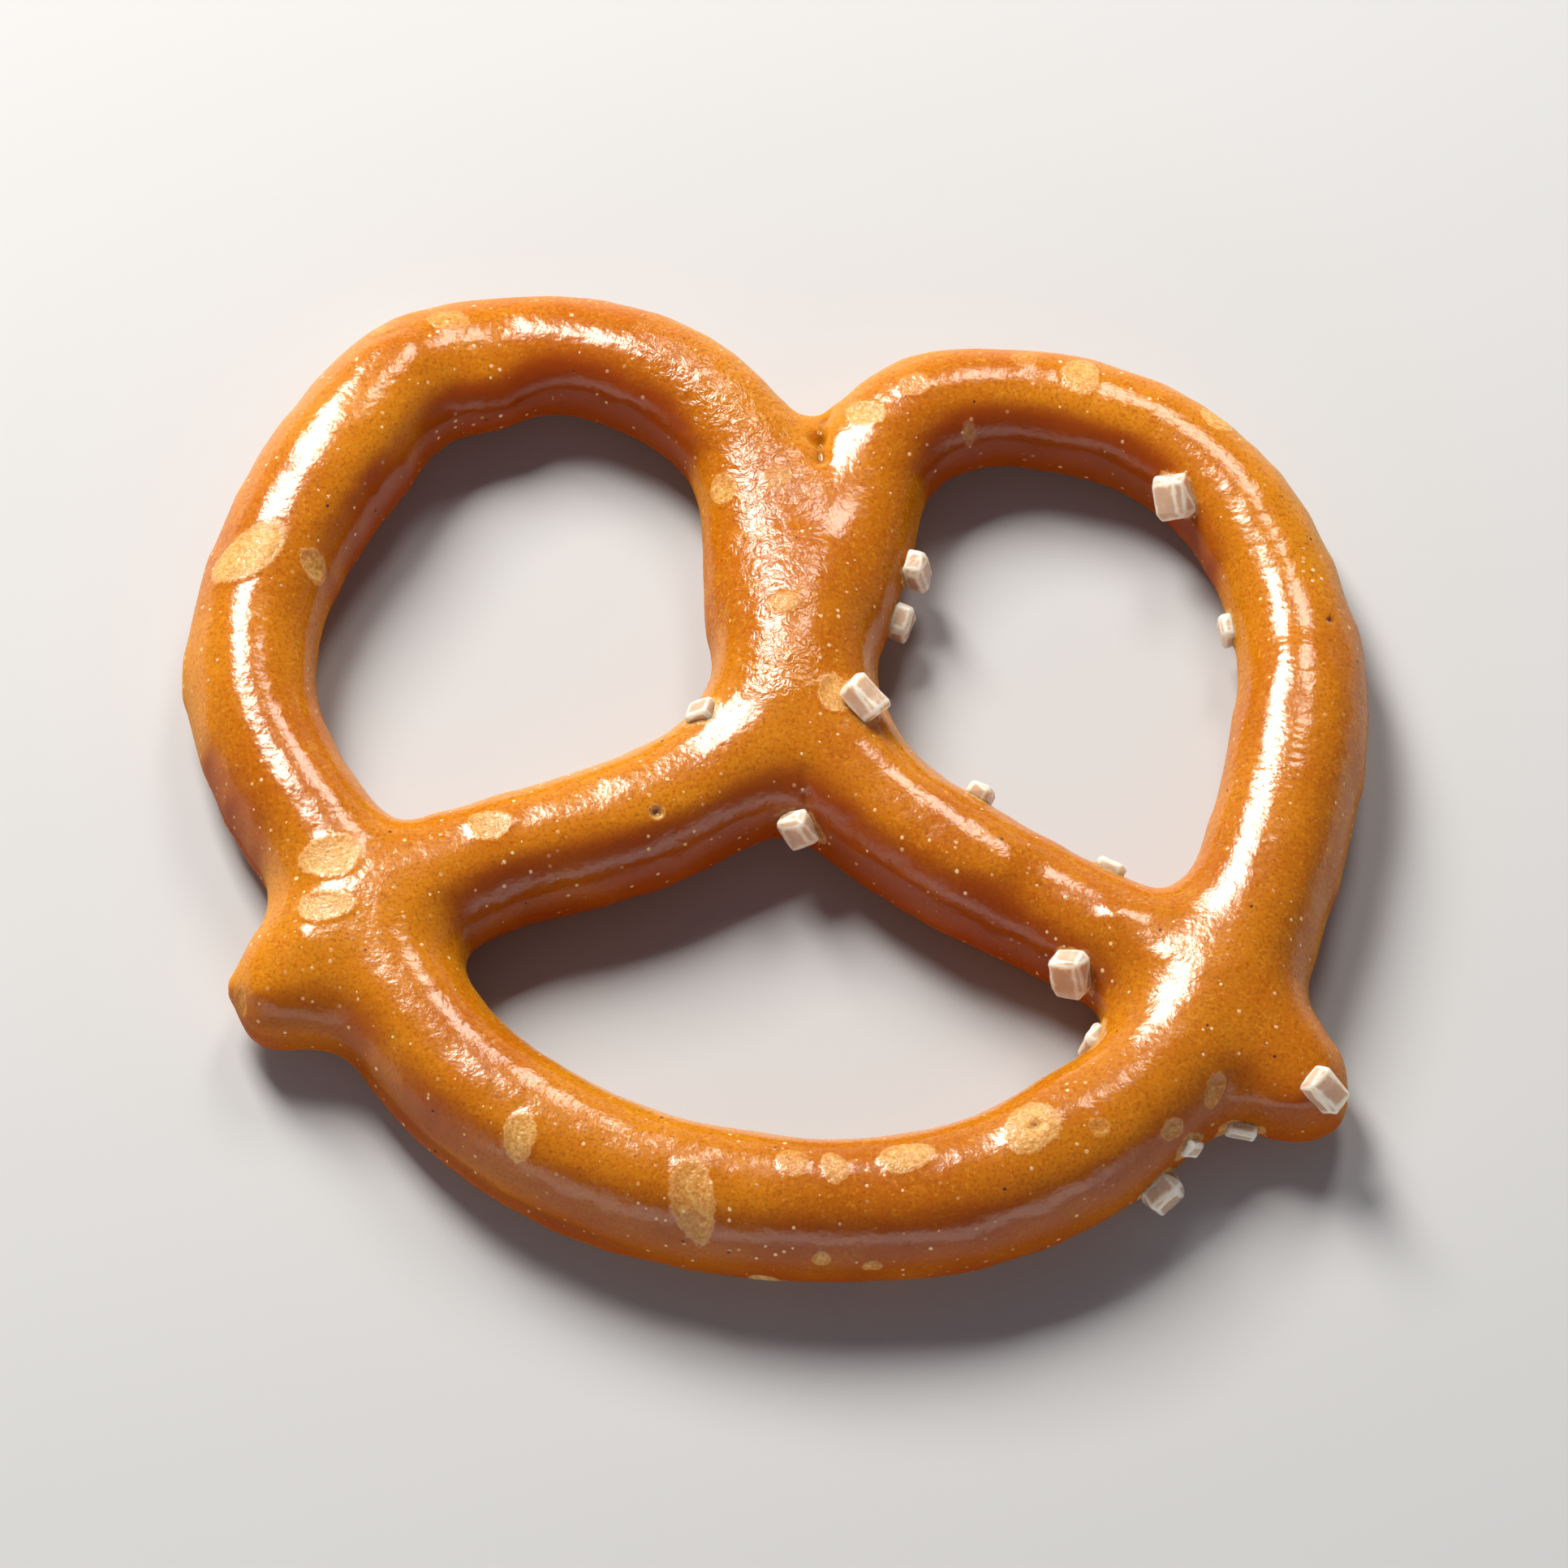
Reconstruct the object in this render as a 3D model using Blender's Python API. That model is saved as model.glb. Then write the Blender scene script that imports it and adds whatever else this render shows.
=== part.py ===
"""A salted mini pretzel twist: one baked piece of dough with coarse salt grains on its crust.

Units are metres, +Z is up and the pretzel lies on its flat underside at z = 0.
The dough is one node; every proud salt grain is a node of its own.
"""

import math
import random

import bmesh
import bpy
from mathutils import Matrix, Vector
from mathutils.bvhtree import BVHTree

MM = 0.001

# Driving dimensions
ROPE_RADIUS = 2.6 * MM  # of the dough rope, on average
SINK = 0.88  # height of a rope's centre line over the belt, as a share of its radius
FINE_VOXEL = 0.4 * MM  # the ropes are joined at this fineness
FILLET_PASSES = 8  # smoothing passes that round the joints between ropes
SHRINK = 0.06 * MM  # how far those passes draw a rope's surface in
CAD_VOXEL = 0.95 * MM  # size of the finished solid's facets
BALL_STEPS = 4  # knots that round off a stub's end
TIP_SAG = 0.2  # how far a stub's tip has sagged towards the belt, as a share of its height
SALT_GAP = 0.1 * MM  # clear space under each grain
SALT_STEP = 0.02 * MM  # a grain is lifted off the crust in steps of this size
SALT_BEVEL = 0.2  # worn edge of a grain, as a share of its shortest side
SALT_JITTER = 0.08  # unevenness of a grain, as a share of its shortest side

# Centre lines of the ropes seen from above, as (x, y, thickness): x and y in millimetres, and the
# rope's thickness there against the average. The long rope starts in the stem, runs round the left
# lobe, the bottom arc and the right lobe, and comes back down the stem.
LONG_ROPE = [
    (-0.3, 6.0, 1.04), (-0.8, 10.6, 0.92), (-1.0, 13.4, 0.94), (-2.5, 16.0, 0.96),
    (-5.3, 18.0, 0.96), (-8.7, 19.0, 0.90), (-11.4, 19.2, 0.80), (-13.9, 18.0, 0.98),
    (-16.9, 14.0, 1.10), (-19.1, 10.0, 1.02), (-20.2, 6.0, 1.00), (-20.1, 3.0, 1.00),
    (-18.9, -0.1, 1.01), (-17.2, -2.9, 1.03), (-15.9, -5.8, 1.04), (-14.2, -9.5, 1.04),
    (-11.8, -12.8, 1.05), (-9.4, -14.7, 1.08), (-5.8, -16.6, 1.08), (-1.8, -17.7, 1.09),
    (2.6, -18.0, 1.08), (7.0, -17.4, 1.10), (10.9, -15.5, 1.15), (13.9, -12.9, 1.08),
    (16.3, -9.2, 1.06), (18.0, -4.8, 1.08), (19.2, -0.1, 1.08), (19.7, 3.5, 1.03),
    (19.3, 7.4, 0.92), (17.7, 11.4, 0.92), (15.4, 14.2, 0.89), (12.2, 15.9, 0.92),
    (8.3, 16.6, 0.92), (5.0, 15.9, 0.98), (3.3, 13.6, 0.94), (2.8, 10.5, 0.90),
    (1.1, 6.0, 1.04),
]
STEM = [(1.1, 12.4, 0.73), (0.9, 10.0, 0.96), (0.4, 6.5, 1.12), (0.4, 3.4, 1.15)]
LEFT_ARM = [
    (0.3, 6.0, 1.08), (0.0, 3.6, 1.12), (-1.4, 1.0, 1.08), (-3.8, -0.8, 1.05),
    (-7.0, -2.2, 1.04), (-10.1, -3.1, 1.01), (-12.9, -4.2, 1.03), (-15.8, -5.9, 1.03),
    (-18.6, -8.6, 0.96),
]
RIGHT_ARM = [
    (0.6, 6.0, 1.08), (0.9, 3.3, 1.12), (2.0, 0.8, 1.08), (3.8, -1.3, 1.02),
    (6.5, -3.3, 1.04), (9.7, -5.1, 0.96), (12.5, -6.7, 0.98), (15.9, -8.9, 1.02),
    (19.2, -12.7, 0.92),
]
# A lump of dough on the left lobe's inner edge, as (x, y, z, radius) in millimetres.
LUMP = (-11.4, 17.1, 2.2, 1.9)

# Salt grains that stand proud of the crust: where each one sits in millimetres, which way it faces
# as (azimuth, elevation) in degrees, its length, width and thickness in millimetres, and its turn.
SALT = [
    ((3.1, 1.9, 4.8), (18, 59), (1.75, 1.25, 1.0), -60),  # right shoulder of the stem
    ((11.3, -8.4, 3.3), (-124, 24), (1.65, 1.45, 1.1), 25),  # underside of the right arm
    ((15.4, 11.7, 3.4), (-142, 39), (1.6, 1.4, 1.1), 50),  # inner edge of the right lobe
    ((20.4, -13.9, 3.9), (-42, 48), (1.75, 1.2, 1.0), 5),  # tip of the right stub
    ((14.2, -16.8, 1.6), (-50, -8), (1.7, 1.5, 1.1), 20),  # outer side of the bottom arc
    ((4.5, 7.1, 1.9), (-17, -2), (1.3, 1.2, 0.9), 10),  # right side of the stem
    ((5.0, 9.1, 2.3), (-15, 5), (1.8, 1.1, 0.9), 5),  # right side of the stem, higher
    ((0.9, -2.3, 3.2), (-105, 15), (1.4, 1.2, 0.9), 35),  # under the fork of the arms
    ((7.6, -1.2, 3.3), (56, 20), (1.3, 0.9, 0.7), 0),  # far side of the right arm
    ((12.0, -11.4, 2.6), (143, 8), (1.2, 1.0, 0.7), 15),  # corner of the bottom hole
    ((17.5, -14.4, 1.9), (-99, -4), (1.2, 0.7, 0.5), 80),  # under the right stub
    ((15.4, -15.6, 2.8), (-50, 8), (0.9, 0.7, 0.5), 40),  # outer side, by the right stub
    ((17.3, 6.6, 2.2), (-168, 0), (1.2, 1.0, 0.6), 0),  # inner side of the right lobe
    ((-2.8, 1.7, 4.5), (141, 50), (1.1, 0.9, 0.6), 30),  # far side of the left arm
    ((12.6, -4.3, 3.2), (61, 23), (1.1, 0.7, 0.5), 85),  # far side of the right arm
    ((-14.8, 19.8, 1.2), (125, -22), (1.1, 0.9, 0.6), 65),  # back of the left lobe
    ((15.1, 16.9, 1.2), (55, -22), (1.1, 0.9, 0.6), 20),  # back of the right lobe
    ((-8.4, -0.9, 1.2), (100, -20), (1.1, 0.9, 0.6), 45),  # far side of the left arm, low
    ((3.0, -15.6, 1.2), (92, -20), (1.0, 0.9, 0.6), 10),  # inner side of the bottom arc
]


def clear_scene():
    for obj in list(bpy.data.objects):
        bpy.data.objects.remove(obj, do_unlink=True)


def material(name, colour, roughness, coat=0.0):
    made = bpy.data.materials.new(name)
    made.use_nodes = True
    shader = made.node_tree.nodes["Principled BSDF"]
    shader.inputs["Base Color"].default_value = (*colour, 1.0)
    shader.inputs["Roughness"].default_value = roughness
    shader.inputs["Metallic"].default_value = 0.0
    shader.inputs["Coat Weight"].default_value = coat
    made.diffuse_color = (*colour, 1.0)
    return made


def ball_end(knots):
    """Further knots that close a rope in a ball, where its cut end has rounded off and sagged."""
    x, y, rest, radius = knots[-1]
    along = Vector((x - knots[-2][0], y - knots[-2][1])).normalized()
    ball = []
    for step in range(1, BALL_STEPS + 1):
        angle = step / (BALL_STEPS + 0.35) * math.pi / 2
        reach = radius * math.sin(angle)
        sagged = rest * (1 - TIP_SAG * math.sin(angle))
        ball.append((x + along.x * reach, y + along.y * reach, sagged, radius * math.cos(angle)))
    return ball


def rope_mesh(points, round_end):
    """A rope swept along its centre line, sunk so that a thicker stretch also stands taller."""
    knots = []
    for x, y, thickness in points:
        radius = ROPE_RADIUS * thickness
        knots.append((x * MM, y * MM, SINK * radius, radius))
    if round_end:
        knots += ball_end(knots)
    curve = bpy.data.curves.new("rope", "CURVE")
    curve.dimensions = "3D"
    curve.resolution_u = 8
    curve.bevel_depth = ROPE_RADIUS
    curve.bevel_resolution = 6
    curve.use_fill_caps = True
    spline = curve.splines.new("BEZIER")
    spline.bezier_points.add(len(knots) - 1)
    for knot, (x, y, rest, radius) in zip(spline.bezier_points, knots):
        knot.co = (x, y, rest)
        knot.radius = (radius + SHRINK) / ROPE_RADIUS
        knot.handle_left_type = knot.handle_right_type = "AUTO"
    guide = bpy.data.objects.new("rope", curve)
    bpy.context.collection.objects.link(guide)
    graph = bpy.context.evaluated_depsgraph_get()
    mesh = bpy.data.meshes.new_from_object(guide.evaluated_get(graph))
    bpy.data.objects.remove(guide, do_unlink=True)
    return mesh


def join_ropes():
    """All the ropes and the lump as one mesh, still overlapping where they cross."""
    joined = bmesh.new()
    for route, round_end in [(LONG_ROPE, False), (STEM, False), (LEFT_ARM, True), (RIGHT_ARM, True)]:
        joined.from_mesh(rope_mesh(route, round_end))
    x, y, z, radius = LUMP
    place = Matrix.Translation(Vector((x, y, z)) * MM)
    bmesh.ops.create_icosphere(joined, subdivisions=3, radius=radius * MM, matrix=place)
    mesh = bpy.data.meshes.new("pretzel")
    joined.to_mesh(mesh)
    joined.free()
    return mesh


def bake(mesh):
    """Fuses the ropes into one body, rounds the joints and brings the facets to their final size."""
    obj = bpy.data.objects.new("pretzel", mesh)
    bpy.context.collection.objects.link(obj)
    fuse = obj.modifiers.new("fuse", "REMESH")
    fuse.mode = "VOXEL"
    fuse.voxel_size = FINE_VOXEL
    fillet = obj.modifiers.new("fillet", "SMOOTH")
    fillet.factor = 0.5
    fillet.iterations = FILLET_PASSES
    facets = obj.modifiers.new("facets", "REMESH")
    facets.mode = "VOXEL"
    facets.voxel_size = CAD_VOXEL
    relax = obj.modifiers.new("relax", "SMOOTH")
    relax.factor = 0.5
    relax.iterations = 1
    graph = bpy.context.evaluated_depsgraph_get()
    baked = bpy.data.meshes.new_from_object(obj.evaluated_get(graph))
    obj.modifiers.clear()
    obj.data = baked
    return obj


def rest_on_belt(obj):
    """Flattens what would sink below the oven belt, then centres the pretzel over the origin."""
    mesh = obj.data
    for vertex in mesh.vertices:
        vertex.co.z = max(vertex.co.z, 0.0)
    spans = [[vertex.co[axis] for vertex in mesh.vertices] for axis in (0, 1)]
    middle = [(min(span) + max(span)) / 2 for span in spans]
    mesh.transform(Matrix.Translation((-middle[0], -middle[1], 0.0)))
    mesh.shade_smooth()


def crystal(sides, shape):
    """A blocky salt crystal with worn edges, centred on the origin, lying on its largest side."""
    length, width, thickness = (side * MM for side in sides)
    smallest = min(length, width, thickness)
    block = bmesh.new()
    bmesh.ops.create_cube(block, size=1.0)
    bmesh.ops.scale(block, vec=(length, width, thickness), verts=block.verts)
    bmesh.ops.bevel(
        block, geom=block.edges[:], offset=SALT_BEVEL * smallest, affect="EDGES",
        segments=1, profile=0.5, material=-1,
    )
    grain = bmesh.new()
    for corner in block.verts:
        uneven = Vector([shape.uniform(-1, 1) for _ in range(3)]) * SALT_JITTER * smallest
        grain.verts.new(corner.co + uneven)
    block.free()
    hull = bmesh.ops.convex_hull(grain, input=grain.verts[:])
    bmesh.ops.delete(grain, geom=hull["geom_interior"], context="VERTS")
    bmesh.ops.recalc_face_normals(grain, faces=grain.faces)
    return grain


def salt_grain(number, entry, crust, look):
    """One grain, lifted along the way it faces until it just clears the crust."""
    place, (azimuth, elevation), sides, turn = entry
    grain = crystal(sides, random.Random(number))
    tilt = Matrix.Rotation(math.radians(azimuth), 4, "Z")
    tilt @= Matrix.Rotation(math.radians(90 - elevation), 4, "Y")
    tilt @= Matrix.Rotation(math.radians(turn), 4, "Z")
    bmesh.ops.transform(grain, matrix=Matrix.Translation(Vector(place) * MM) @ tilt,
                        verts=grain.verts)
    outward = tilt.to_3x3() @ Vector((0, 0, 1))
    while BVHTree.FromBMesh(grain).overlap(crust):
        bmesh.ops.translate(grain, vec=outward * SALT_STEP, verts=grain.verts)
    bmesh.ops.translate(grain, vec=outward * SALT_GAP, verts=grain.verts)
    name = f"salt_grain_{number:02d}"
    mesh = bpy.data.meshes.new(name)
    grain.to_mesh(mesh)
    grain.free()
    mesh.materials.append(look)
    bpy.context.collection.objects.link(bpy.data.objects.new(name, mesh))


clear_scene()
pretzel = bake(join_ropes())
rest_on_belt(pretzel)
pretzel.data.materials.append(material("glazed_crust", (0.56, 0.17, 0.02), 0.3, coat=0.6))

crust = BVHTree.FromObject(pretzel, bpy.context.evaluated_depsgraph_get())
salt_look = material("salt_crystal", (0.85, 0.78, 0.68), 0.25)
for number, entry in enumerate(SALT, start=1):
    salt_grain(number, entry, crust, salt_look)
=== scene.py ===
"""Looks of a salted mini pretzel twist: the glazed crust, its salt grains, the table and the light."""

import math
import random

import bmesh
import bpy
import numpy as np
from mathutils import Matrix, Vector, noise
from mathutils.bvhtree import BVHTree
from mathutils.kdtree import KDTree


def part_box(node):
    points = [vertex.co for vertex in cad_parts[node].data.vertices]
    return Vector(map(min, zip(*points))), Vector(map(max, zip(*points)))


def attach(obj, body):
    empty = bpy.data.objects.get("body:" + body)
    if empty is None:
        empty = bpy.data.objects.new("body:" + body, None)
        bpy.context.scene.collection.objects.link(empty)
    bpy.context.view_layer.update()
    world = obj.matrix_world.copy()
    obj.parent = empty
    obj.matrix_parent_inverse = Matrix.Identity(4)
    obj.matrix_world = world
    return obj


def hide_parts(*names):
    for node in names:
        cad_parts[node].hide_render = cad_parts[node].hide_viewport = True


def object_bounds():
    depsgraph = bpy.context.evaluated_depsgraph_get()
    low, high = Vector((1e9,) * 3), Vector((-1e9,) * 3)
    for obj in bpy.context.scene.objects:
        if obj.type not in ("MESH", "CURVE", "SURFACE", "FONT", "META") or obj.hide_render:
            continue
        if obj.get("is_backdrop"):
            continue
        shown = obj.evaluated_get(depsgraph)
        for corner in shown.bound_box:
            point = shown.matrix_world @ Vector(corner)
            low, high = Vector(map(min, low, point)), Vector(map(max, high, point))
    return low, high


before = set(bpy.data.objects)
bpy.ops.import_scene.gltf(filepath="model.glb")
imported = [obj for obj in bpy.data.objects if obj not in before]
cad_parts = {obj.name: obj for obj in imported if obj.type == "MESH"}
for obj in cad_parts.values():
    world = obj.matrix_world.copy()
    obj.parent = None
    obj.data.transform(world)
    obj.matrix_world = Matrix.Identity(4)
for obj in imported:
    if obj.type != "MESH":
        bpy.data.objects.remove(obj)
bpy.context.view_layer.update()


# --- The crust -------------------------------------------------------------------------------
# One piece of wheat dough, rolled into a rope, twisted, dipped in lye and baked hard on a steel
# belt. The lye turns its skin into a thin amber glaze, which shows every blister, stretch mark
# and salt scar, and the belt leaves the underside flat, dull and a little paler.

MM = 0.001
SAME_POINT = 0.001 * MM  # points of a solid that are closer than this are one
NEARLY_FLAT = math.radians(60)  # triangles that meet at less than this become one four-sided facet
CAD_FACET_PASSES = 2  # smoothing of the solid's own facets, before they are divided
FINE_PASSES = 14  # and after
DIVISIONS = 2  # each facet's side is halved this many times, to about 0.2 mm
DRAWN_IN = 0.05  # how far the smoothing draws the skin in, in millimetres
HOLLOW_PASSES = 120  # smoothing that fills the nooks, to find where they are
UNEVENNESS = [(0.045, 3.0), (0.018, 1.3), (0.008, 0.6)]  # height and size of lumps, in millimetres

# Where a salt grain has fallen off: place, width and height of the scar in millimetres, its turn
# in degrees, how deep it is sunk (or raised, if negative) in millimetres, and how pale it is.
SCARS = [
    ((-20.0, 8.5, 4.6), (3.0, 1.8), 32, -0.03, 1.0),
    ((-17.7, 8.3, 4.0), (0.95, 1.5), 25, 0.05, 0.85),
    ((-15.1, 18.5, 3.9), (0.9, 0.8), 0, -0.02, 0.4),
    ((-12.5, 19.0, 4.3), (1.5, 1.1), 10, -0.05, 0.6),
    ((-2.0, 11.7, 4.0), (1.1, 1.2), 0, 0.03, 0.8),
    ((0.0, 12.0, 4.4), (1.1, 1.0), 0, -0.02, 0.55),
    ((0.3, 6.0, 5.3), (1.15, 1.0), 0, -0.04, 0.7),
    ((2.2, 2.2, 5.2), (1.3, 1.5), 0, 0.05, 0.8),
    ((3.4, 14.8, 4.4), (1.5, 1.1), -10, 0.04, 0.9),
    ((5.3, 16.0, 4.7), (1.3, 0.9), 20, 0.02, 0.55),
    ((9.5, 17.4, 4.1), (1.0, 0.9), 0, -0.02, 0.5),
    ((11.7, 16.6, 4.3), (1.4, 1.6), 0, -0.03, 0.9),
    ((16.8, 14.9, 3.6), (1.5, 1.0), -35, -0.03, 0.9),
    ((7.4, 14.3, 3.6), (0.5, 1.0), 0, 0.03, 0.5),
    ((-16.7, -4.6, 4.9), (2.1, 1.8), 20, 0.04, 0.95),
    ((-16.9, -6.6, 4.9), (2.0, 1.3), 0, 0.03, 0.85),
    ((-20.4, -9.9, 3.1), (0.8, 1.1), 0, 0.06, 0.4),
    ((-10.8, -3.2, 4.8), (1.7, 1.2), 0, 0.03, 0.75),
    ((-4.5, -2.7, 4.9), (0.6, 0.6), 0, 0.10, 0.6),
    ((-9.6, -16.3, 4.8), (1.2, 1.7), 0, 0.02, 0.95),
    ((-3.1, -19.0, 4.9), (1.5, 3.2), 12, 0.05, 0.75),
    ((0.6, -17.5, 5.1), (1.1, 1.2), 0, -0.04, 0.6),
    ((2.2, -17.8, 5.1), (0.9, 1.4), 20, -0.03, 0.75),
    ((4.9, -17.3, 5.1), (1.9, 1.3), 10, -0.04, 0.95),
    ((9.5, -16.1, 5.4), (1.9, 2.1), -20, -0.05, 1.0),
    ((12.1, -16.2, 5.4), (0.8, 0.7), 20, 0.03, 0.55),
    ((14.8, -15.8, 4.2), (1.0, 0.8), 0, 0.06, 0.7),
    ((16.3, -14.0, 4.1), (0.8, 1.3), -20, 0.05, 0.6),
    ((-0.4, -20.8, 1.6), (1.1, 0.9), 0, -0.03, 0.8),
    ((1.7, -20.8, 3.5), (0.7, 0.6), 0, -0.02, 0.75),
    ((3.6, -20.9, 3.1), (0.8, 0.5), 0, -0.02, 0.7),
    ((-19.5, -1.0, 1.6), (1.2, 1.0), 0, 0.03, 0.7),
    ((6.5, 18.5, 2.0), (1.3, 1.0), 0, 0.03, 0.8),
    ((-6.0, 20.6, 1.8), (1.0, 1.2), 0, -0.03, 0.7),
    ((21.5, -2.0, 1.8), (1.2, 1.0), 0, 0.03, 0.75),
    ((-8.0, -0.6, 2.4), (1.1, 0.9), 0, -0.02, 0.7),
    ((7.0, -14.8, 2.2), (1.2, 0.9), 0, 0.03, 0.8),
]
SCAR_LOBES = ((2, 0.06), (3, 0.05))  # how many lobes its edge has, and how far they stand out
SCAR_FLOOR = 0.55  # how much of the way to its edge is level
SCAR_RIM = (1.02, 0.14, 0.03)  # its raised rim: where, how wide, and how high in millimetres

# Where a bubble burst: place, radius and depth of the hole, in millimetres.
PINHOLES = [
    ((9.65, -16.2, 5.5), 0.2, 0.22),
    ((-4.5, -2.7, 4.9), 0.17, 0.14),
    ((21.0, 5.9, 4.3), 0.13, 0.12),
]
PINHOLE_SEED = 77

# Creases, as the points that they run through, their width and their depth, all in millimetres.
CREASES = [
    ([(1.7, 13.0, 4.6), (1.5, 14.2, 4.2), (1.7, 15.6, 3.4)], 0.30, 0.30),
    ([(1.1, -0.9, 4.9), (1.1, -1.8, 4.3), (1.1, -2.6, 3.0)], 0.25, 0.072),
]
CREASE_SHADE = 2.0  # how much darker a crease is for each millimetre of its depth

# The dough's foot, where it spread on the belt: from and to are directions from the pretzel's
# middle in degrees, then how high the foot's upper edge is and how far it stands out.
FOOT = [
    ((196, 264), 2.2, 0.20),
    ((150, 200), 1.7, 0.16),
    ((-40, 28), 2.0, 0.16),
    ((28, 150), 1.4, 0.10),
]
FOOT_FADE = 12  # degrees over which each stretch of the foot fades in and out
FOOT_GROOVE = (0.15, 0.16, 0.5)  # the groove over it: how far above, its width and its depth share

# The dough that crept up round a salt grain, in millimetres: how high it stands, how far out it
# and its bare skin reach, and how far from a grain's middle to look; and how pale that skin is.
COLLAR_HEIGHT = 0.17
COLLAR_REACH = 0.22
COLLAR_BARE_REACH = 0.6
COLLAR_SEARCH = 2.2
COLLAR_PALENESS = 0.7

# How low the skin is where it lies on the belt, from just off it to fully on it, how squarely it
# faces down there, and how deep the deepest hollow in it is, in millimetres.
BELT_LEVEL = (0.45, 0.15)
BELT_FACING = (-0.5, -0.8)
BELT_HOLLOW = 0.1

# Skin that has wrinkled like leather, and skin drawn into fine ripples across the rope: where it
# is, and how far it reaches.
WRINKLED = [
    ((-1.5, 16.0), 4.0),
    ((-0.7, 12.0), 3.2),
    ((-0.5, 7.5), 3.4),
    ((0.2, 3.5), 2.4),
    ((-3.5, 18.0), 3.0),
]
RIPPLED = [((17.6, 9.0), 3.2), ((18.6, 4.5), 3.4), ((18.4, 0.0), 3.4)]

# The crust's colours.
AMBER = (0.67, 0.240, 0.007, 1)
DEEP_AMBER = (0.52, 0.145, 0.003, 1)
GOLD_MOTTLE = (0.70, 0.28, 0.012, 1)
GOLD_GRAIN = (0.80, 0.36, 0.03, 1)
# painted shade on the front sides and low down, mixed with random browning
SHADE_AND_BAKE_BROWN = (0.32, 0.042, 0.003, 1)
BROWN_GRAIN = (0.30, 0.060, 0.003, 1)
# painted shade in hollows, creases and pinholes
HOLLOW_SHADE_BROWN = (0.13, 0.016, 0.002, 1)
BELT_TAN = (0.50, 0.24, 0.06, 1)
BARE_DOUGH = (0.86, 0.55, 0.22, 1)
TOASTED_DOUGH = (0.68, 0.34, 0.08, 1)
RIM_CREAM = (0.88, 0.58, 0.26, 1)
# pale specks of dust and bubbles, partly their own colour, partly painted glints
SPECK_AND_GLINT_CREAM = (0.98, 0.68, 0.36, 1)
# painted shade inside each pore
PORE_SHADE_BLACK = (0.05, 0.010, 0.003, 1)

# Heights and depths of the skin's fine relief, in millimetres.
PEEL = 0.016
FOLD_IN_WRINKLES = 0.09
FOLD_ELSEWHERE = 0.005
FINE_GRAIN = 0.007
RIPPLE = 0.007
RIPPLE_PITCH = 0.42
SCAR_ROUGHNESS = 0.05
SPECK_HEIGHT = 0.02
PORE_DEPTH = 0.05


def rounded_dough(node):
    """The dough's shape with its facets rounded away: a finer copy of the CAD solid's mesh."""
    dough = bmesh.new()
    dough.from_mesh(node.data)
    bmesh.ops.remove_doubles(dough, verts=dough.verts, dist=SAME_POINT)
    bmesh.ops.join_triangles(
        dough, faces=dough.faces[:],
        angle_face_threshold=NEARLY_FLAT, angle_shape_threshold=NEARLY_FLAT,
    )
    for _ in range(CAD_FACET_PASSES):
        bmesh.ops.smooth_vert(
            dough, verts=dough.verts, factor=0.5, use_axis_x=True, use_axis_y=True, use_axis_z=True
        )
    mesh = bpy.data.meshes.new("pretzel_crust")
    dough.to_mesh(mesh)
    dough.free()
    obj = bpy.data.objects.new("pretzel_crust", mesh)
    bpy.context.collection.objects.link(obj)
    divide = obj.modifiers.new("divide", "SUBSURF")
    divide.levels = DIVISIONS
    divide.render_levels = DIVISIONS
    even_out = obj.modifiers.new("even_out", "SMOOTH")
    even_out.factor = 0.5
    even_out.iterations = FINE_PASSES
    graph = bpy.context.evaluated_depsgraph_get()
    fine = bpy.data.meshes.new_from_object(obj.evaluated_get(graph))
    obj.modifiers.clear()
    obj.data = fine
    fine.name = "pretzel_crust"
    return obj


def finer_where(obj, spots):
    """Halves the facets near each spot, given as (place in millimetres, radius)."""
    form = bmesh.new()
    form.from_mesh(obj.data)
    middles = KDTree(len(form.faces))
    for face in form.faces:
        middles.insert(face.calc_center_median(), face.index)
    middles.balance()
    form.faces.ensure_lookup_table()
    chosen = set()
    for place, radius in spots:
        for _, index, _ in middles.find_range(Vector(place) * MM, radius * MM):
            chosen.add(index)
    edges = {edge for index in chosen for edge in form.faces[index].edges}
    ordered = sorted(edges, key=lambda edge: edge.index)
    bmesh.ops.subdivide_edges(form, edges=ordered, cuts=1, use_grid_fill=True)
    form.to_mesh(obj.data)
    form.free()


def smooth_step(low, high, value):
    share = np.clip((value - low) / (high - low), 0.0, 1.0)
    return share * share * (3.0 - 2.0 * share)


crust = rounded_dough(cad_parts["pretzel"])
grain_nodes = sorted(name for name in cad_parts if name.startswith("salt_grain_"))
grain_middles = {name: sum(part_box(name), Vector()) / 2 for name in grain_nodes}
finer_where(
    crust,
    [(place, max(size) * 0.75) for place, size, *_ in SCARS]
    + [(place, 0.8) for place, *_ in PINHOLES]
    + [(place, 0.6) for points, *_ in CREASES for place in points]
    + [(middle / MM, 1.3) for middle in grain_middles.values()],
)

# The crust is worked as arrays: where each point of the skin is and which way it faces.
skin = crust.data
place = np.empty(len(skin.vertices) * 3)
skin.vertices.foreach_get("co", place)
place = place.reshape(-1, 3) / MM
facing = np.empty(len(skin.vertices) * 3)
skin.vertices.foreach_get("normal", facing)
facing = facing.reshape(-1, 3)
edge_ends = np.empty(len(skin.edges) * 2, dtype=int)
skin.edges.foreach_get("vertices", edge_ends)
edge_ends = edge_ends.reshape(-1, 2)


def averaged(values, passes):
    """The values with each point moved to the average of its neighbours, over and over."""
    one, other = edge_ends.T
    count = np.bincount(one, minlength=len(values)) + np.bincount(other, minlength=len(values))
    for _ in range(passes):
        total = [
            np.bincount(one, values[other, axis], len(values))
            + np.bincount(other, values[one, axis], len(values))
            for axis in range(values.shape[1])
        ]
        values = 0.5 * values + 0.5 * np.stack(total, axis=1) / count[:, None]
    return values


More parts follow.
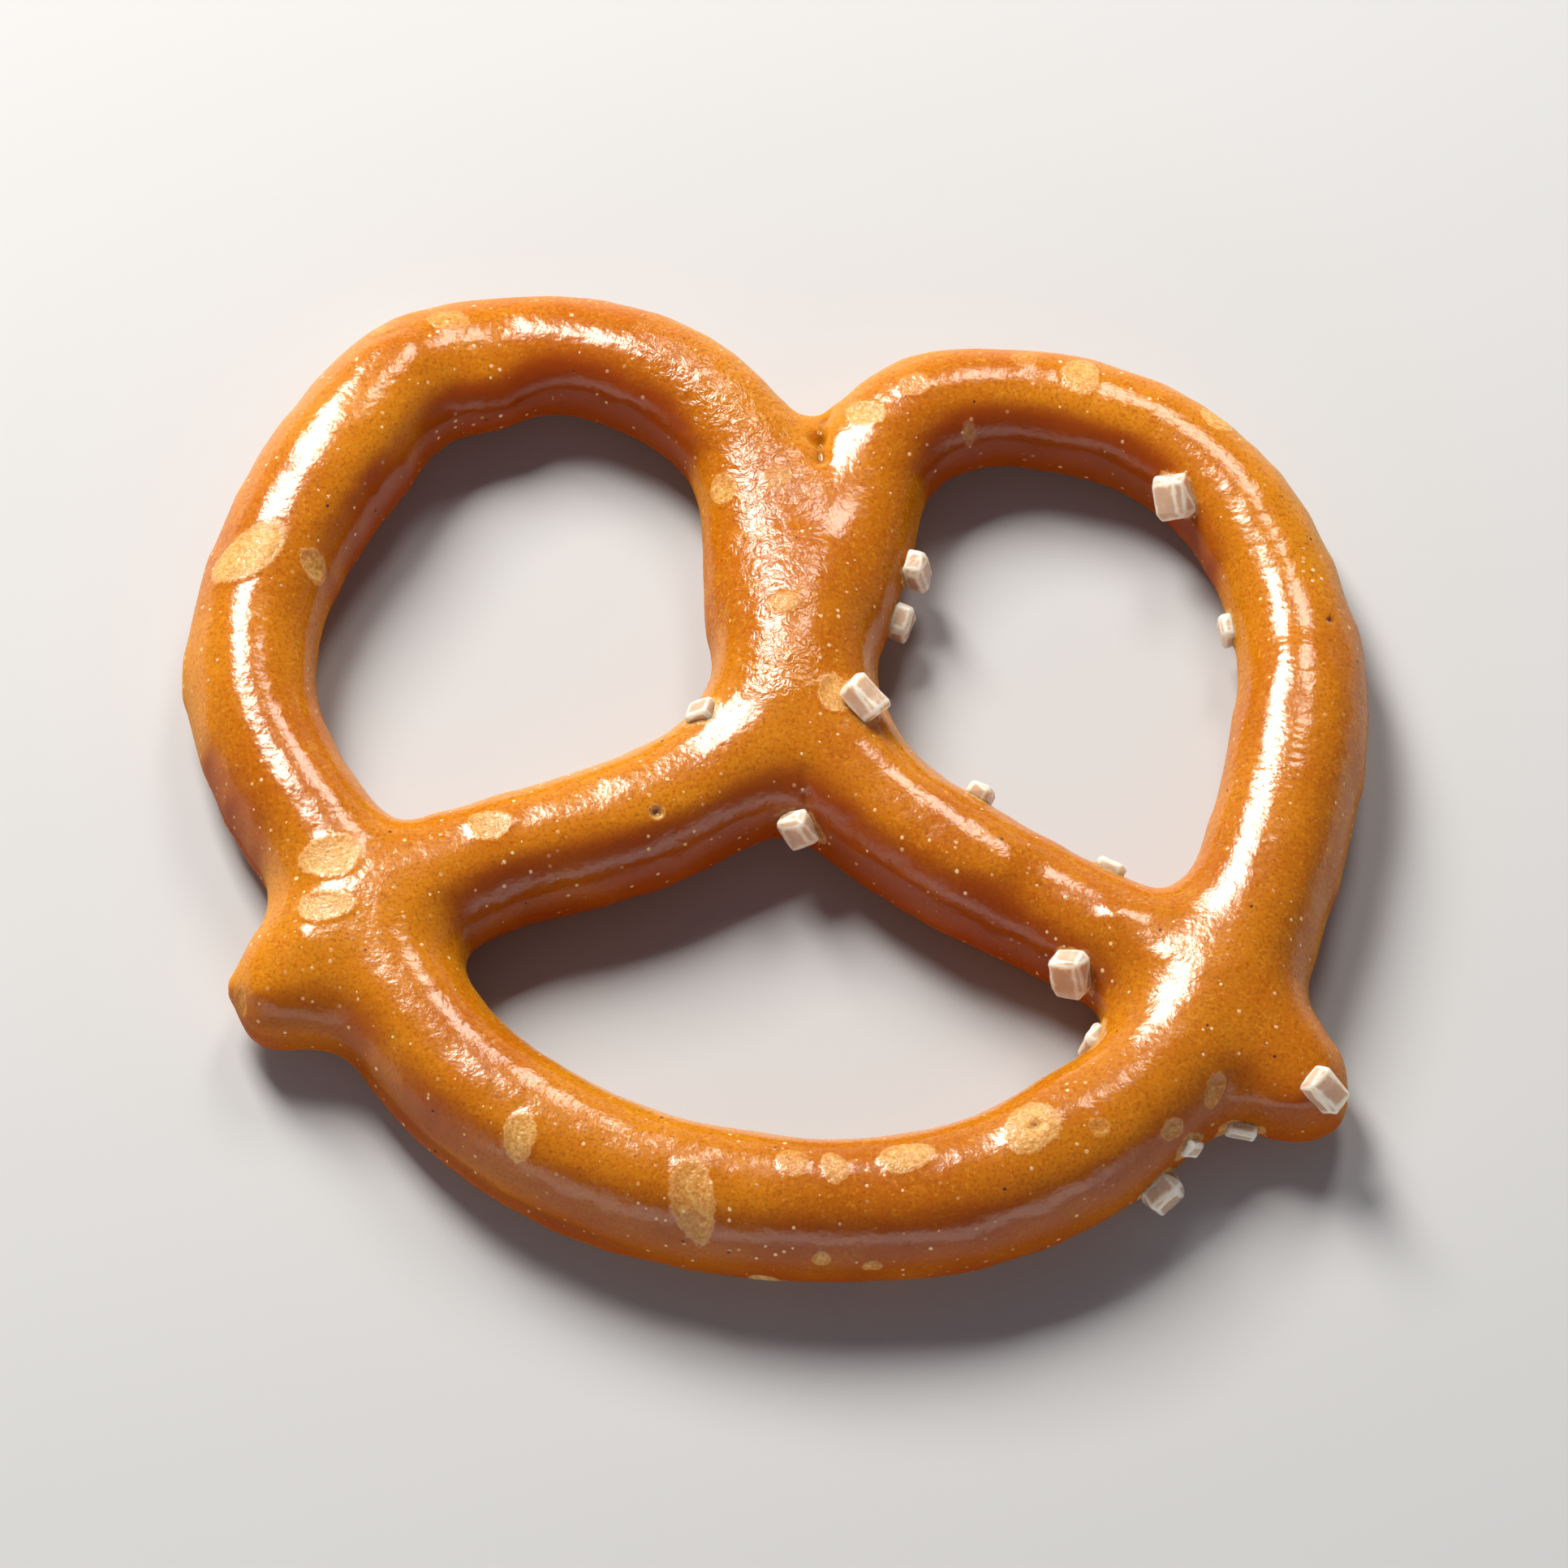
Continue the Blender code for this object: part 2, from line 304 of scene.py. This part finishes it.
hollow = ((averaged(place, HOLLOW_PASSES) - place) * facing).sum(axis=1)
raised = np.full(len(place), DRAWN_IN)
scar = np.zeros(len(place))
pale = np.zeros(len(place))
# Painted shade: the skin is painted darker in its hollows, where shade falls. Pinholes and creases add
# to it below.
hollow_shade = smooth_step(0.05, 0.45, hollow)


def lumps(size, seed):
    """Soft random unevenness from -1 to 1, in blobs of about this size in millimetres."""
    shift = Vector((seed * 7.3, seed * 3.1, seed * 5.7))
    return np.array([noise.noise(Vector(spot) / size + shift) for spot in place])


raised += sum(height * lumps(size, seed) for seed, (height, size) in enumerate(UNEVENNESS, 1))


def nearest_point(spot):
    return int(np.argmin(((place - np.array(spot)) ** 2).sum(axis=1)))


def patch(spot, size, turn, seed):
    """How far each point is from the middle of an uneven oval patch, where 1 is on its edge."""
    middle = nearest_point(spot)
    out = Vector(facing[middle])
    across = (Vector((1, 0, 0)) - out * out.x).normalized()
    across = Matrix.Rotation(math.radians(turn), 3, out) @ across
    along = out.cross(across)
    offset = place - place[middle]
    width = offset @ np.array(across) / (size[0] / 2)
    height = offset @ np.array(along) / (size[1] / 2)
    angle = np.arctan2(height, width)
    shape = random.Random(seed)
    edge = 1.0
    for lobes, depth in SCAR_LOBES:
        edge = edge + depth * np.cos(lobes * angle + shape.uniform(0, 2 * math.pi))
    away = np.sqrt(width**2 + height**2) / edge
    hidden = (facing @ np.array(out) < 0.2) | (np.abs(offset @ np.array(out)) > max(size))
    return np.where(hidden, 9.0, away)


rim_at, rim_width, rim_height = SCAR_RIM
for seed, (spot, size, turn, depth, paleness) in enumerate(SCARS):
    away = patch(spot, size, turn, seed)
    raised -= depth * (1 - smooth_step(SCAR_FLOOR, 1.0, away))
    raised += rim_height * np.exp(-(((away - rim_at) / rim_width) ** 2))
    scar = np.maximum(scar, np.clip(1.5 - away, 0.0, 1.5))
    pale = np.where(away < 1.5, np.maximum(pale, paleness), pale)

for spot, radius, depth in PINHOLES:
    away = patch(spot, (2 * radius, 2 * radius), 0, PINHOLE_SEED)
    raised -= depth * np.exp(-(away**2))
    # Painted shade in the hole.
    hollow_shade = np.maximum(hollow_shade, 1.2 * np.exp(-(away**2) / 1.4))

for points, width, depth in CREASES:
    points = [place[nearest_point(point)] for point in points]
    for start, end in zip(points, points[1:]):
        run = end - start
        along = np.clip((place - start) @ run / (run @ run), 0.0, 1.0)
        away = np.linalg.norm(place - start - along[:, None] * run, axis=1) / width
        dent = np.exp(-(away**2))
        raised -= depth * dent
        hollow_shade = np.maximum(hollow_shade, CREASE_SHADE * depth * dent)

# Painted shade: the crust is painted darker on its front sides, which face away from the lamps, and the
# more so further back. It is also painted darker low down by the belt, and browned at random in blobs.
on_front = smooth_step(0.1, 0.6, -facing[:, 1])
below_crest = smooth_step(5.6, 4.2, place[:, 2])
further_back = smooth_step(-14.0, 8.0, place[:, 1])
by_belt = smooth_step(3.0, 1.0, place[:, 2])
shade_and_browning = 0.9 * on_front * below_crest * (0.7 + 0.4 * further_back)
shade_and_browning = np.clip(shade_and_browning + 0.3 * by_belt + 0.25 * lumps(2.5, 12), 0.0, 1.0)

# The foot, uneven along its length, and the groove over it.
bearing = np.degrees(np.arctan2(place[:, 1], place[:, 0]))
from_middle = place[:, :2] / np.linalg.norm(place[:, :2], axis=1)[:, None]
faces_out = smooth_step(0.25, 0.6, (facing[:, :2] * from_middle).sum(axis=1))
on_the_outside = smooth_step(14.5, 16.0, np.hypot(place[:, 0], place[:, 1]))
uneven = np.clip(0.6 + 0.8 * lumps(5.0, 9), 0.15, 1.0)
wavy = 0.25 * lumps(4.0, 4)
groove_above, groove_width, groove_share = FOOT_GROOVE
for (low, high), level, reach in FOOT:
    turned = (bearing - low) % 360
    span = high - low
    within = smooth_step(0, FOOT_FADE, turned) * (1 - smooth_step(span - FOOT_FADE, span, turned))
    stands_out = reach * within * faces_out * uneven * on_the_outside
    above = place[:, 2] - level - wavy
    raised += stands_out * smooth_step(0.1, -0.5, above)
    raised -= groove_share * stands_out * np.exp(-(((above - groove_above) / groove_width) ** 2))

# Dough that crept up round each salt grain as the pretzel baked.
for name in grain_nodes:
    grain = bmesh.new()
    grain.from_mesh(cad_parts[name].data)
    bmesh.ops.remove_doubles(grain, verts=grain.verts, dist=SAME_POINT)
    hull = BVHTree.FromBMesh(grain)
    grain.free()
    middle = np.array(grain_middles[name]) / MM
    near = np.nonzero(((place - middle) ** 2).sum(axis=1) < COLLAR_SEARCH**2)[0]
    for index in near:
        gap = hull.find_nearest(Vector(place[index]) * MM)[3] / MM
        raised[index] += COLLAR_HEIGHT * math.exp(-((gap / COLLAR_REACH) ** 2))
        scar[index] = max(scar[index], 1.2 * (1.0 - gap / COLLAR_BARE_REACH))
        pale[index] = max(pale[index], COLLAR_PALENESS)

# The steel belt pressed the underside flat, but for shallow hollows, and left its edge soft.
on_belt = smooth_step(*BELT_LEVEL, place[:, 2]) * smooth_step(*BELT_FACING, facing[:, 2])
place += facing * (raised * (1 - on_belt))[:, None]
belt_hollow = np.clip(0.12 * lumps(1.6, 21) + 0.05 * lumps(0.7, 22) - 0.02, 0.0, BELT_HOLLOW)
place[:, 2] = (1 - on_belt) * place[:, 2] + on_belt * belt_hollow
low_down = place[:, 2] < 0.35
place = np.where(low_down[:, None], averaged(place, 2), place)
place[:, 2] = np.maximum(place[:, 2], 0.0)
skin.vertices.foreach_set("co", (place * MM).ravel())


def reach_of(spots):
    """1 in the middle of each spot, given as ((x, y), radius), fading to 0 at its edge."""
    share = np.zeros(len(place))
    for (x, y), radius in spots:
        away = np.hypot(place[:, 0] - x, place[:, 1] - y) / radius
        share = np.maximum(share, 1 - smooth_step(0.4, 1.0, away))
    return share


def paint(name, values):
    layer = skin.attributes.new(name, "FLOAT", "POINT")
    layer.data.foreach_set("value", values.astype(np.float32))


paint("scar", scar)
paint("pale", pale)
paint("hollow_shade", hollow_shade)
paint("shade_and_browning", shade_and_browning)
paint("wrinkle", reach_of(WRINKLED))
paint("ripple", reach_of(RIPPLED))
skin.shade_smooth()
skin.update()


def link(tree, source, socket):
    if isinstance(source, bpy.types.NodeSocket):
        tree.links.new(source, socket)
    else:
        socket.default_value = source


def made(tree, kind, inputs, **settings):
    """A shader node with its settings and its inputs, each a value or another node's output."""
    node = tree.nodes.new("ShaderNode" + kind)
    for name, value in settings.items():
        setattr(node, name, value)
    for name, source in inputs.items():
        link(tree, source, node.inputs[name])
    return node


def blobs(tree, where, size, detail=2.0, roughness=0.5, distortion=0.0):
    """Noise from 0 to 1 whose blobs are about this many millimetres across."""
    inputs = {"Vector": where, "Scale": 1 / (size * MM), "Detail": detail}
    inputs |= {"Roughness": roughness, "Distortion": distortion}
    return made(tree, "TexNoise", inputs).outputs["Fac"]


def ramp(tree, value, low, high, out_low=0.0, out_high=1.0):
    inputs = {"Value": value, "From Min": low, "From Max": high, "To Min": out_low, "To Max": out_high}
    return made(tree, "MapRange", inputs, interpolation_type="SMOOTHSTEP").outputs["Result"]


def sum_of(tree, one, other, kind="ADD"):
    node = tree.nodes.new("ShaderNodeMath")
    node.operation = kind
    link(tree, one, node.inputs[0])
    link(tree, other, node.inputs[1])
    return node.outputs[0]


def over(tree, share, under, top):
    """The colour `top` laid over the colour `under`."""
    node = tree.nodes.new("ShaderNodeMix")
    node.data_type = "RGBA"
    link(tree, share, node.inputs["Factor"])
    link(tree, under, node.inputs[6])
    link(tree, top, node.inputs[7])
    return node.outputs[2]


def dots(tree, where, spacing, radius, share):
    """Round dots of this radius, in a random share of cells this far apart, all in millimetres."""
    cells = made(tree, "TexVoronoi", {"Vector": where, "Scale": 1 / (spacing * MM)})
    lottery = made(tree, "SeparateColor", {"Color": cells.outputs["Color"]}).outputs["Red"]
    size = ramp(tree, lottery, 1 - share, 1.0, 0.0, radius / spacing)
    inside = sum_of(tree, size, cells.outputs["Distance"], "SUBTRACT")
    return ramp(tree, inside, 0.0, 0.3 * radius / spacing)


def crust_finish():
    look = bpy.data.materials.new("glazed_crust")
    look.use_nodes = True
    tree = look.node_tree
    shader = tree.nodes["Principled BSDF"]
    where = tree.nodes.new("ShaderNodeTexCoord").outputs["Object"]

    def painted(name):
        return made(tree, "Attribute", {}, attribute_name=name).outputs["Fac"]

    height = made(tree, "SeparateXYZ", {"Vector": where}).outputs["Z"]
    underside = ramp(tree, height, 0.9 * MM, 0.15 * MM)
    grainy = blobs(tree, where, 0.13, 3.0, 0.6)
    mottled = blobs(tree, where, 0.9, 3.0, 0.55)
    drifting = blobs(tree, where, 7.0, 2.0)

    frayed = ramp(tree, blobs(tree, where, 0.18, 3.0, 0.6), 0.3, 0.7, -0.08, 0.08)
    scar_edge = sum_of(tree, painted("scar"), frayed)
    scar_share = sum_of(tree, ramp(tree, scar_edge, 0.25, 0.75), painted("pale"), "MULTIPLY")
    patchy = ramp(tree, blobs(tree, where, 0.3, 3.0, 0.6), 0.35, 0.65, 0.6, 1.0)
    scar_share = sum_of(tree, scar_share, patchy, "MULTIPLY")
    rim = sum_of(tree, ramp(tree, scar_edge, 0.38, 0.48), ramp(tree, scar_edge, 0.62, 0.50), "MULTIPLY")
    rim = sum_of(tree, rim, painted("pale"), "MULTIPLY")
    in_hollow_shade = ramp(tree, painted("hollow_shade"), 0.1, 1.0)

    amber = over(tree, ramp(tree, drifting, 0.35, 0.7), AMBER, DEEP_AMBER)
    amber = over(tree, ramp(tree, mottled, 0.5, 0.75, 0.0, 0.4), amber, GOLD_MOTTLE)
    light_grain = blobs(tree, where, 0.19, 3.0, 0.65)
    amber = over(tree, ramp(tree, light_grain, 0.5, 0.72, 0.0, 0.5), amber, GOLD_GRAIN)
    # Painted shade on the front sides and low down, mixed with random browning.
    amber = over(tree, ramp(tree, painted("shade_and_browning"), 0.0, 1.0, 0.0, 0.9), amber, SHADE_AND_BAKE_BROWN)
    amber = over(tree, ramp(tree, grainy, 0.45, 0.72, 0.0, 0.6), amber, BROWN_GRAIN)
    # Painted shade in the hollows, creases and pinholes.
    amber = over(tree, ramp(tree, in_hollow_shade, 0.0, 1.0, 0.0, 0.85), amber, HOLLOW_SHADE_BROWN)
    amber = over(tree, ramp(tree, underside, 0.0, 1.0, 0.0, 0.75), amber, BELT_TAN)
    bare = over(tree, ramp(tree, grainy, 0.35, 0.65), BARE_DOUGH, TOASTED_DOUGH)
    coloured = over(tree, ramp(tree, scar_share, 0.0, 1.0, 0.0, 0.95), amber, bare)
    coloured = over(tree, ramp(tree, rim, 0.0, 1.0, 0.0, 0.35), coloured, RIM_CREAM)
    # Pale specks of dust and bubbles, painted bright cream: partly their own colour, partly painted
    # glints.
    clusters = ramp(tree, blobs(tree, where, 2.2), 0.42, 0.60, 0.25, 1.0)
    specks = sum_of(tree, dots(tree, where, 0.34, 0.095, 0.5), clusters, "MULTIPLY")
    coloured = over(tree, specks, coloured, SPECK_AND_GLINT_CREAM)
    # Painted shade: each pore's pit is painted near black.
    pores = dots(tree, where, 0.85, 0.09, 0.3)
    coloured = over(tree, ramp(tree, pores, 0.0, 1.0, 0.0, 0.85), coloured, PORE_SHADE_BLACK)
    link(tree, coloured, shader.inputs["Base Color"])

    # Relief, all in millimetres.
    peel = ramp(tree, blobs(tree, where, 0.6, 3.0), 0.2, 0.8, 0.0, PEEL)
    folds = blobs(tree, where, 0.5, 3.0, 0.6, 0.8)
    fold = ramp(tree, painted("wrinkle"), 0.0, 1.0, FOLD_ELSEWHERE, FOLD_IN_WRINKLES)
    folds = sum_of(tree, folds, fold, "MULTIPLY")
    fine = sum_of(tree, blobs(tree, where, 0.22, 3.0, 0.6), FINE_GRAIN, "MULTIPLY")
    turned = made(tree, "Mapping", {"Vector": where, "Rotation": (0, 0, math.radians(6))})
    waves = made(
        tree, "TexWave",
        {"Vector": turned.outputs["Vector"], "Scale": 0.314 / (RIPPLE_PITCH * MM),
         "Distortion": 6.0, "Detail": 3.0, "Detail Scale": 1.5},
        bands_direction="Y",
    ).outputs["Fac"]
    ripple = ramp(tree, painted("ripple"), 0.0, 1.0, 0.0, RIPPLE)
    waves = sum_of(tree, waves, ripple, "MULTIPLY")
    in_places = ramp(tree, blobs(tree, where, 1.6), 0.35, 0.65, 0.2, 1.0)
    waves = sum_of(tree, waves, in_places, "MULTIPLY")
    in_scars = ramp(tree, scar_share, 0.0, 1.0, 0.0, SCAR_ROUGHNESS)
    rough_patch = sum_of(tree, blobs(tree, where, 0.22, 3.0, 0.7), in_scars, "MULTIPLY")
    bumps = sum_of(tree, specks, SPECK_HEIGHT, "MULTIPLY")
    pits = sum_of(tree, pores, -PORE_DEPTH, "MULTIPLY")
    relief = peel
    for layer in (folds, fine, waves, rough_patch, bumps, pits):
        relief = sum_of(tree, relief, layer)
    bump = made(tree, "Bump", {"Height": relief, "Distance": MM, "Strength": 1.0}).outputs["Normal"]
    link(tree, bump, shader.inputs["Normal"])
    link(tree, bump, shader.inputs["Coat Normal"])

    dull = ramp(tree, scar_share, 0.0, 1.0, 0.0, 0.2)
    dull = sum_of(tree, dull, ramp(tree, underside, 0.0, 1.0, 0.0, 0.2))
    dull = sum_of(tree, dull, ramp(tree, mottled, 0.3, 0.7, 0.40, 0.50))
    link(tree, dull, shader.inputs["Roughness"])
    glaze = ramp(tree, scar_share, 0.0, 1.0, 1.0, 0.3)
    glaze = sum_of(tree, glaze, ramp(tree, height, 2.2 * MM, 4.7 * MM, 0.2, 1.0), "MULTIPLY")
    glaze = sum_of(tree, glaze, ramp(tree, underside, 0.0, 1.0, 1.0, 0.5), "MULTIPLY")
    link(tree, glaze, shader.inputs["Coat Weight"])
    shader.inputs["Coat Roughness"].default_value = 0.17
    shader.inputs["Coat IOR"].default_value = 1.6
    shader.inputs["IOR"].default_value = 1.45
    shader.inputs["Specular IOR Level"].default_value = 0.0
    shader.inputs["Subsurface Weight"].default_value = 0.6
    shader.inputs["Subsurface Radius"].default_value = (1.0, 0.28, 0.06)
    shader.inputs["Subsurface Scale"].default_value = 1.0 * MM
    return look


skin.materials.clear()
skin.materials.append(crust_finish())
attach(crust, "root")
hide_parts("pretzel")


# --- The salt --------------------------------------------------------------------------------
# Coarse rock salt, thrown on the wet dough before baking. Each grain is a blocky broken crystal,
# cloudy inside and frosted outside, held by the skin that dried round its foot.

SUNK = 0.34  # how much deeper than its solid a grain sits in the crust, in millimetres
WORN = 0.99  # how much of its size is left after rubbing against the others in the sack
SHARP_RIDGE = math.radians(18)  # edges that turn by more than this are broken and frosted
BROKEN_EDGE = 0.035 * MM
LONGEST_SIDE = 0.12 * MM  # a facet's side that is longer than this is halved
HALVINGS = 3  # at the most
CHIPS = [(0.6 * MM, 0.04), (0.25 * MM, 0.012)]  # their size, and their depth in millimetres
FROST_REACH = 0.09 * MM  # how far the frost reaches from a ridge
NANOMETRE = 1e-9

CLOUDY_SALT_AND_CRUST_BEHIND = (0.70, 0.50, 0.36, 1)  # cloudy salt, with the crust's colour painted in as if seen through it
FROSTED_SALT = (0.94, 0.85, 0.74, 1)
SALT_RELIEF = 0.012


def salt_finish():
    look = bpy.data.materials.new("rock_salt")
    look.use_nodes = True
    tree = look.node_tree
    shader = tree.nodes["Principled BSDF"]
    where = tree.nodes.new("ShaderNodeTexCoord").outputs["Object"]
    frost = made(tree, "Attribute", {}, attribute_name="frost").outputs["Fac"]
    cloud = ramp(tree, blobs(tree, where, 0.4, 4.0, 0.6, 0.4), 0.35, 0.7, -0.25, 0.35)
    frosted = ramp(tree, sum_of(tree, frost, cloud), 0.0, 1.0)
    white = over(tree, frosted, CLOUDY_SALT_AND_CRUST_BEHIND, FROSTED_SALT)
    link(tree, white, shader.inputs["Base Color"])
    link(tree, ramp(tree, frosted, 0.0, 1.0, 0.22, 0.5), shader.inputs["Roughness"])
    relief = sum_of(tree, blobs(tree, where, 0.22, 2.0, 0.5), SALT_RELIEF, "MULTIPLY")
    bump = made(tree, "Bump", {"Height": relief, "Distance": MM, "Strength": 1.0}).outputs["Normal"]
    link(tree, bump, shader.inputs["Normal"])
    shader.inputs["IOR"].default_value = 1.54
    shader.inputs["Subsurface Weight"].default_value = 1.0
    shader.inputs["Subsurface Radius"].default_value = (1.0, 0.85, 0.65)
    shader.inputs["Subsurface Scale"].default_value = 0.8 * MM
    return look


def distance_to(point, start, end):
    """How far the point is from the straight edge between start and end."""
    run = end - start
    share = min(max((point - start).dot(run) / run.length_squared, 0.0), 1.0)
    return (point - start - run * share).length


def spot_of(part):
    """The middle of a point, an edge or a facet in whole nanometres, to sort by."""
    corners = [part] if isinstance(part, bmesh.types.BMVert) else part.verts
    middle = sum((corner.co for corner in corners), Vector()) / len(corners)
    return tuple(round(side / NANOMETRE) for side in middle)


def in_order(form):
    """Sorts the points, edges and facets by place, so that every run cuts them alike."""
    for parts in (form.verts, form.edges, form.faces):
        for rank, part in enumerate(sorted(parts, key=spot_of)):
            part.index = rank
        parts.sort()
        parts.index_update()


salt_look = salt_finish()
for number, name in enumerate(grain_nodes):
    shape = random.Random(100 + number)
    middle = grain_middles[name]
    nearest = nearest_point(middle / MM)
    inward = (Vector(place[nearest]) * MM - middle).normalized()
    grain = bmesh.new()
    grain.from_mesh(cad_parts[name].data)
    bmesh.ops.remove_doubles(grain, verts=grain.verts, dist=SAME_POINT)
    for corner in grain.verts:
        corner.co = middle + (corner.co - middle) * WORN + inward * SUNK * MM
    sharp = [edge for edge in grain.edges if edge.calc_face_angle(0.0) > SHARP_RIDGE]
    ridges = [(edge.verts[0].co.copy(), edge.verts[1].co.copy()) for edge in sharp]
    bmesh.ops.bevel(
        grain, geom=sharp, offset=BROKEN_EDGE, affect="EDGES", segments=1, profile=0.5,
        material=-1, clamp_overlap=True,
    )
    bmesh.ops.triangulate(grain, faces=grain.faces[:])
    in_order(grain)
    for _ in range(HALVINGS):
        long_edges = [edge for edge in grain.edges if edge.calc_length() > LONGEST_SIDE]
        bmesh.ops.subdivide_edges(grain, edges=long_edges, cuts=1)
        in_order(grain)
        bmesh.ops.triangulate(grain, faces=grain.faces[:])
        in_order(grain)
    grain.normal_update()
    seed = Vector([shape.uniform(0, 50) for _ in range(3)])
    moves = []
    for point in grain.verts:
        chip = sum(noise.noise(point.co / size + seed) * depth for size, depth in CHIPS)
        moves.append(point.normal * chip * MM)
    for point, move in zip(grain.verts, moves):
        point.co += move
    bmesh.ops.recalc_face_normals(grain, faces=grain.faces)
    frost = []
    for point in grain.verts:
        to_ridge = min(distance_to(point.co, *ridge) for ridge in ridges)
        frost.append(math.exp(-((to_ridge / FROST_REACH) ** 2)))
    mesh = bpy.data.meshes.new(name + "_crystal")
    grain.to_mesh(mesh)
    grain.free()
    mesh.attributes.new("frost", "FLOAT", "POINT").data.foreach_set("value", frost)
    mesh.materials.append(salt_look)
    crystal = bpy.data.objects.new(name + "_crystal", mesh)
    bpy.context.collection.objects.link(crystal)
    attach(crystal, "root")
    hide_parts(name)


# --- The table, the light and the camera -----------------------------------------------------
# A matt pale table in a dim studio, whose low wall in front is bright and the one behind a third
# as bright. A large softbox hangs behind the pretzel to the left, a small one behind it to the
# right, and the camera looks down from the front.

TABLE_SIDE = 4.0
TABLE_GAP = 0.02 * MM  # keeps the table's face off the pretzel's own
TABLE_WHITE = (0.60, 0.615, 0.65, 1)
LAMP_WARMTH = (1.0, 0.95, 0.86)
WALLS_LOW = (0.16, 0.16, 0.17, 1)
WALLS_HIGH = (0.07, 0.07, 0.08, 1)
WALL_BEHIND = (0.5, 0.5, 0.5, 1)
WALL_IN_FRONT = (1.6, 1.55, 1.5, 1)
AIM = Vector((0.3, -0.3, 2.6)) * MM
CAMERA_ELEVATION = math.radians(62)
CAMERA_DISTANCE = 0.6
VIEW_WIDTH = 59.3 * MM

table_form = bmesh.new()
bmesh.ops.create_grid(table_form, x_segments=2, y_segments=2, size=TABLE_SIDE / 2)
bmesh.ops.translate(table_form, verts=table_form.verts, vec=(0, 0, -TABLE_GAP))
table_mesh = bpy.data.meshes.new("table")
table_form.to_mesh(table_mesh)
table_form.free()
table = bpy.data.objects.new("table", table_mesh)
bpy.context.collection.objects.link(table)
table_look = bpy.data.materials.new("matt_white")
table_look.use_nodes = True
table_shader = table_look.node_tree.nodes["Principled BSDF"]
table_shader.inputs["Base Color"].default_value = TABLE_WHITE
table_shader.inputs["Roughness"].default_value = 0.9
table_mesh.materials.append(table_look)
table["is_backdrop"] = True


def softbox(name, azimuth, elevation, distance, size, watts):
    """A soft lamp aimed at the pretzel: degrees, metres and watts."""
    lamp = bpy.data.lights.new(name, "AREA")
    lamp.shape = "RECTANGLE"
    lamp.size, lamp.size_y = size
    lamp.energy = watts
    lamp.color = LAMP_WARMTH
    obj = bpy.data.objects.new(name, lamp)
    bpy.context.collection.objects.link(obj)
    turn, rise = math.radians(azimuth), math.radians(elevation)
    away = Vector((math.cos(turn) * math.cos(rise), math.sin(turn) * math.cos(rise), math.sin(rise)))
    obj.location = AIM + away * distance
    obj.rotation_euler = away.to_track_quat("Z", "Y").to_euler()
    obj.visible_camera = False


softbox("key_softbox", azimuth=120, elevation=46, distance=0.32, size=(0.10, 0.18), watts=1.45)
softbox("rear_softbox", azimuth=74, elevation=46, distance=0.32, size=(0.07, 0.10), watts=0.25)

world = bpy.data.worlds.new("studio")
bpy.context.scene.world = world
world.use_nodes = True
studio = world.node_tree
direction = studio.nodes.new("ShaderNodeTexCoord").outputs["Generated"]
toward = made(studio, "SeparateXYZ", {"Vector": direction})
rise = toward.outputs["Z"]
walls = over(studio, ramp(studio, rise, 0.12, 0.5), WALLS_LOW, WALLS_HIGH)
behind = ramp(studio, toward.outputs["Y"], 0.6, 0.9)
low_behind = sum_of(studio, behind, ramp(studio, rise, 0.42, 0.2), "MULTIPLY")
room = over(studio, low_behind, walls, WALL_BEHIND)
in_front = ramp(studio, toward.outputs["Y"], -0.3, -0.8)
low_in_front = sum_of(studio, in_front, ramp(studio, rise, 0.5, 0.2), "MULTIPLY")
room = over(studio, low_in_front, room, WALL_IN_FRONT)
link(studio, room, studio.nodes["Background"].inputs["Color"])

camera_data = bpy.data.cameras.new("camera")
camera = bpy.data.objects.new("camera", camera_data)
bpy.context.collection.objects.link(camera)
back = Vector((0, -math.cos(CAMERA_ELEVATION), math.sin(CAMERA_ELEVATION)))
camera.location = AIM + back * CAMERA_DISTANCE
camera.rotation_euler = back.to_track_quat("Z", "Y").to_euler()
camera_data.lens = camera_data.sensor_width * CAMERA_DISTANCE / VIEW_WIDTH
camera_data.clip_start = 0.01
bpy.context.scene.camera = camera
bpy.context.scene.view_settings.view_transform = "Standard"

low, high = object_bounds()
